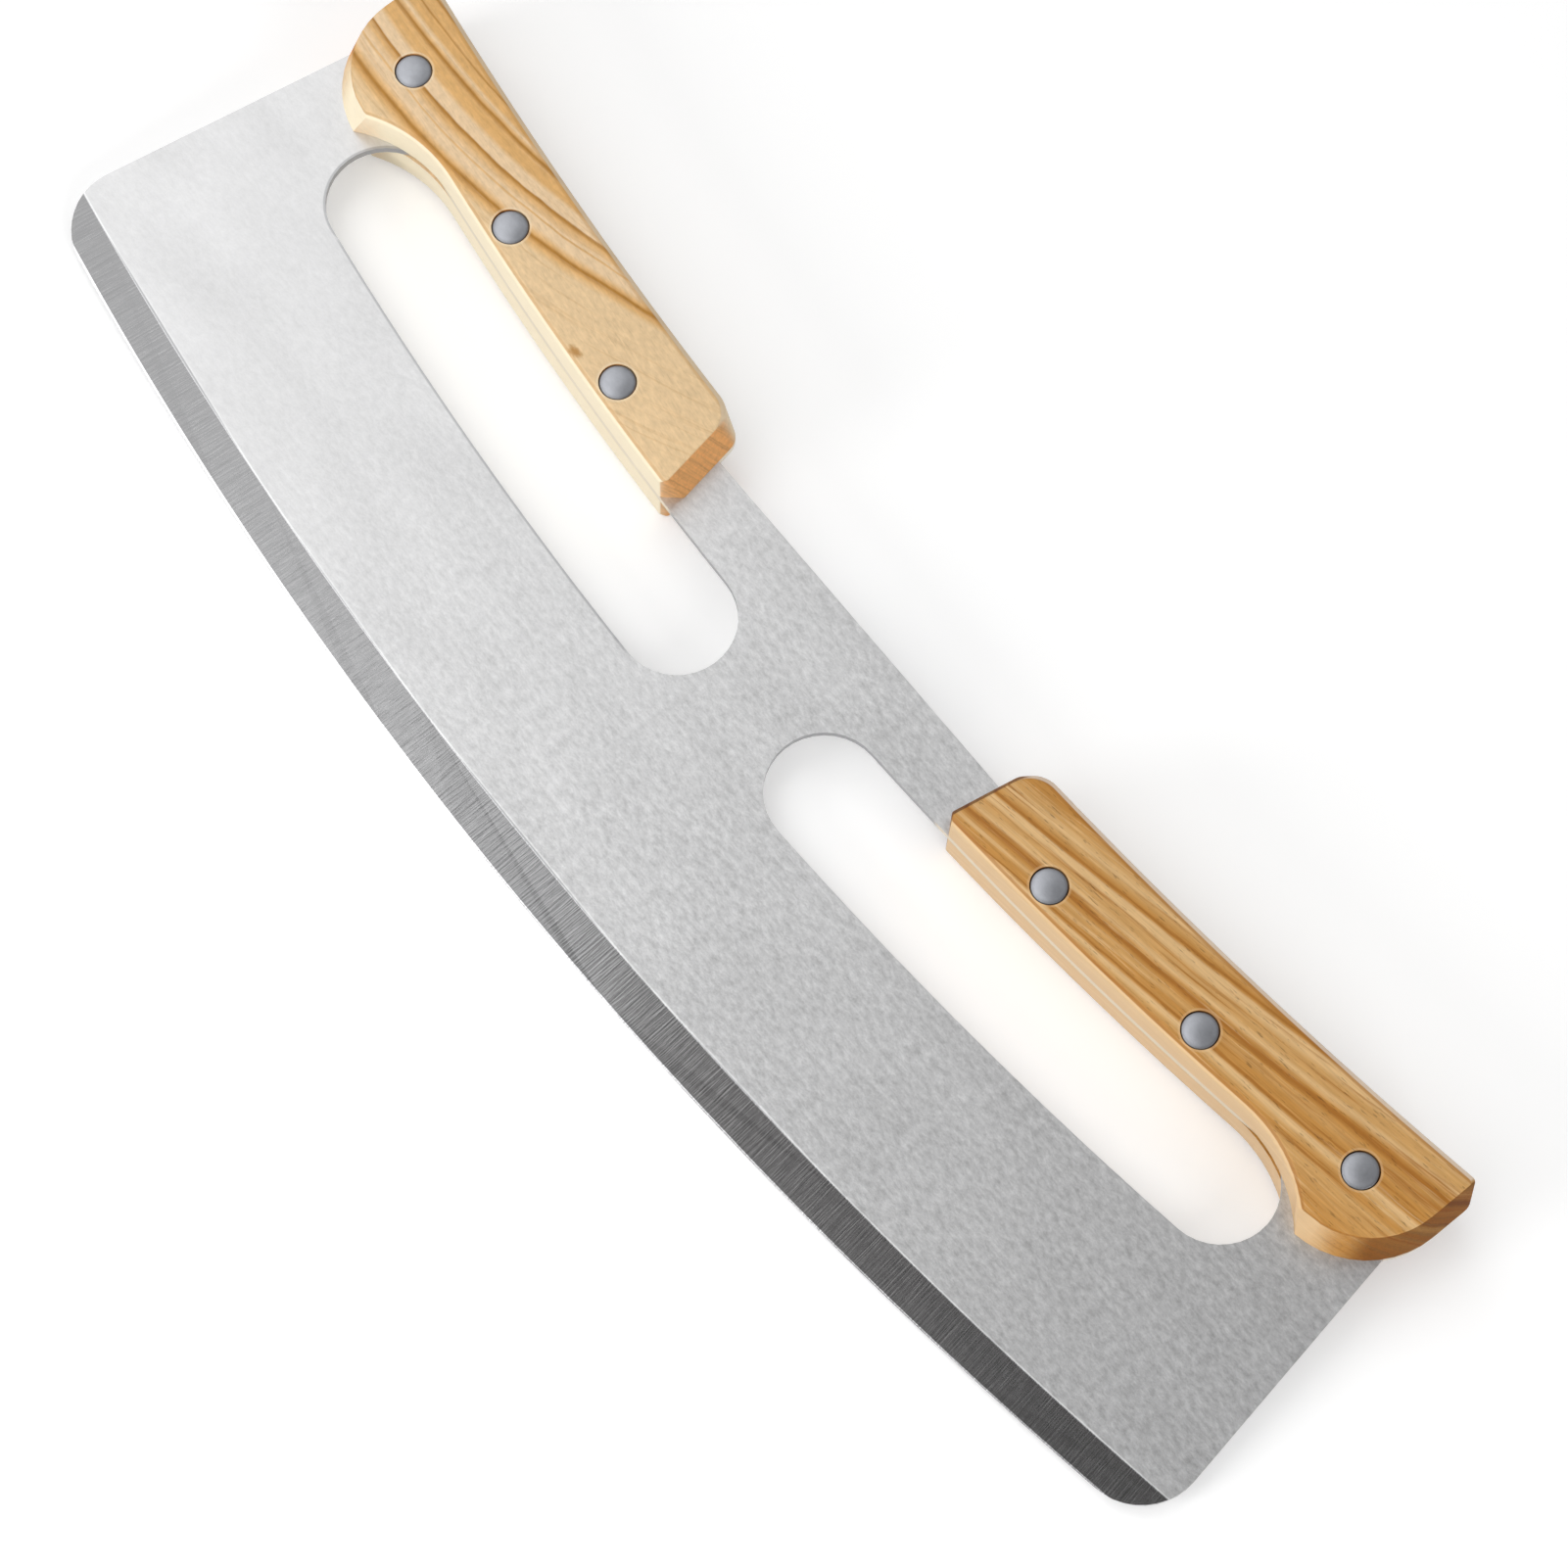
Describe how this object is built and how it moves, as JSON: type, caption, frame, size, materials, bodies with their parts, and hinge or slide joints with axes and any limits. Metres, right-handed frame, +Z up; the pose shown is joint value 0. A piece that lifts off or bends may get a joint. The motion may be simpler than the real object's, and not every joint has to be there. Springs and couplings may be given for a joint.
{
  "type": "rocker knife",
  "caption": "Rocker knife for slicing pizza: a curved steel plate with grip slots and riveted wooden handle scales at both ends",
  "frame": {"origin": "the middle of the knife's footprint, on the table that it lies on", "axes": "+X along the blade from the pale handle to the warm handle, +Y from the cutting edge to the handles, +Z up, out of the front face, which leans 7.5 degrees towards the edge as the knife rests"},
  "size_m": [0.3526, 0.1098, 0.0246],
  "materials": {
    "blade_steel": "bright stainless sheet with a fine speckled grain, the cutting bevel ground across the edge",
    "rivet_steel": "satin stainless rivet heads, slightly domed",
    "pale_wood": "oiled pale yellow-beige wood with a few brown grain lines",
    "warm_wood": "oiled orange-brown wood with straight grain"
  },
  "bodies": {
    "root": {"blade": "blade_steel", "left_front_scale": "pale_wood", "left_back_scale": "pale_wood", "right_front_scale": "warm_wood", "right_back_scale": "warm_wood", "left_rivet_1_tube": "rivet_steel", "left_rivet_1_pin": "rivet_steel", "left_rivet_2_tube": "rivet_steel", "left_rivet_2_pin": "rivet_steel", "left_rivet_3_tube": "rivet_steel", "left_rivet_3_pin": "rivet_steel", "right_rivet_1_tube": "rivet_steel", "right_rivet_1_pin": "rivet_steel", "right_rivet_2_tube": "rivet_steel", "right_rivet_2_pin": "rivet_steel", "right_rivet_3_tube": "rivet_steel", "right_rivet_3_pin": "rivet_steel"}
  },
  "joints": []
}
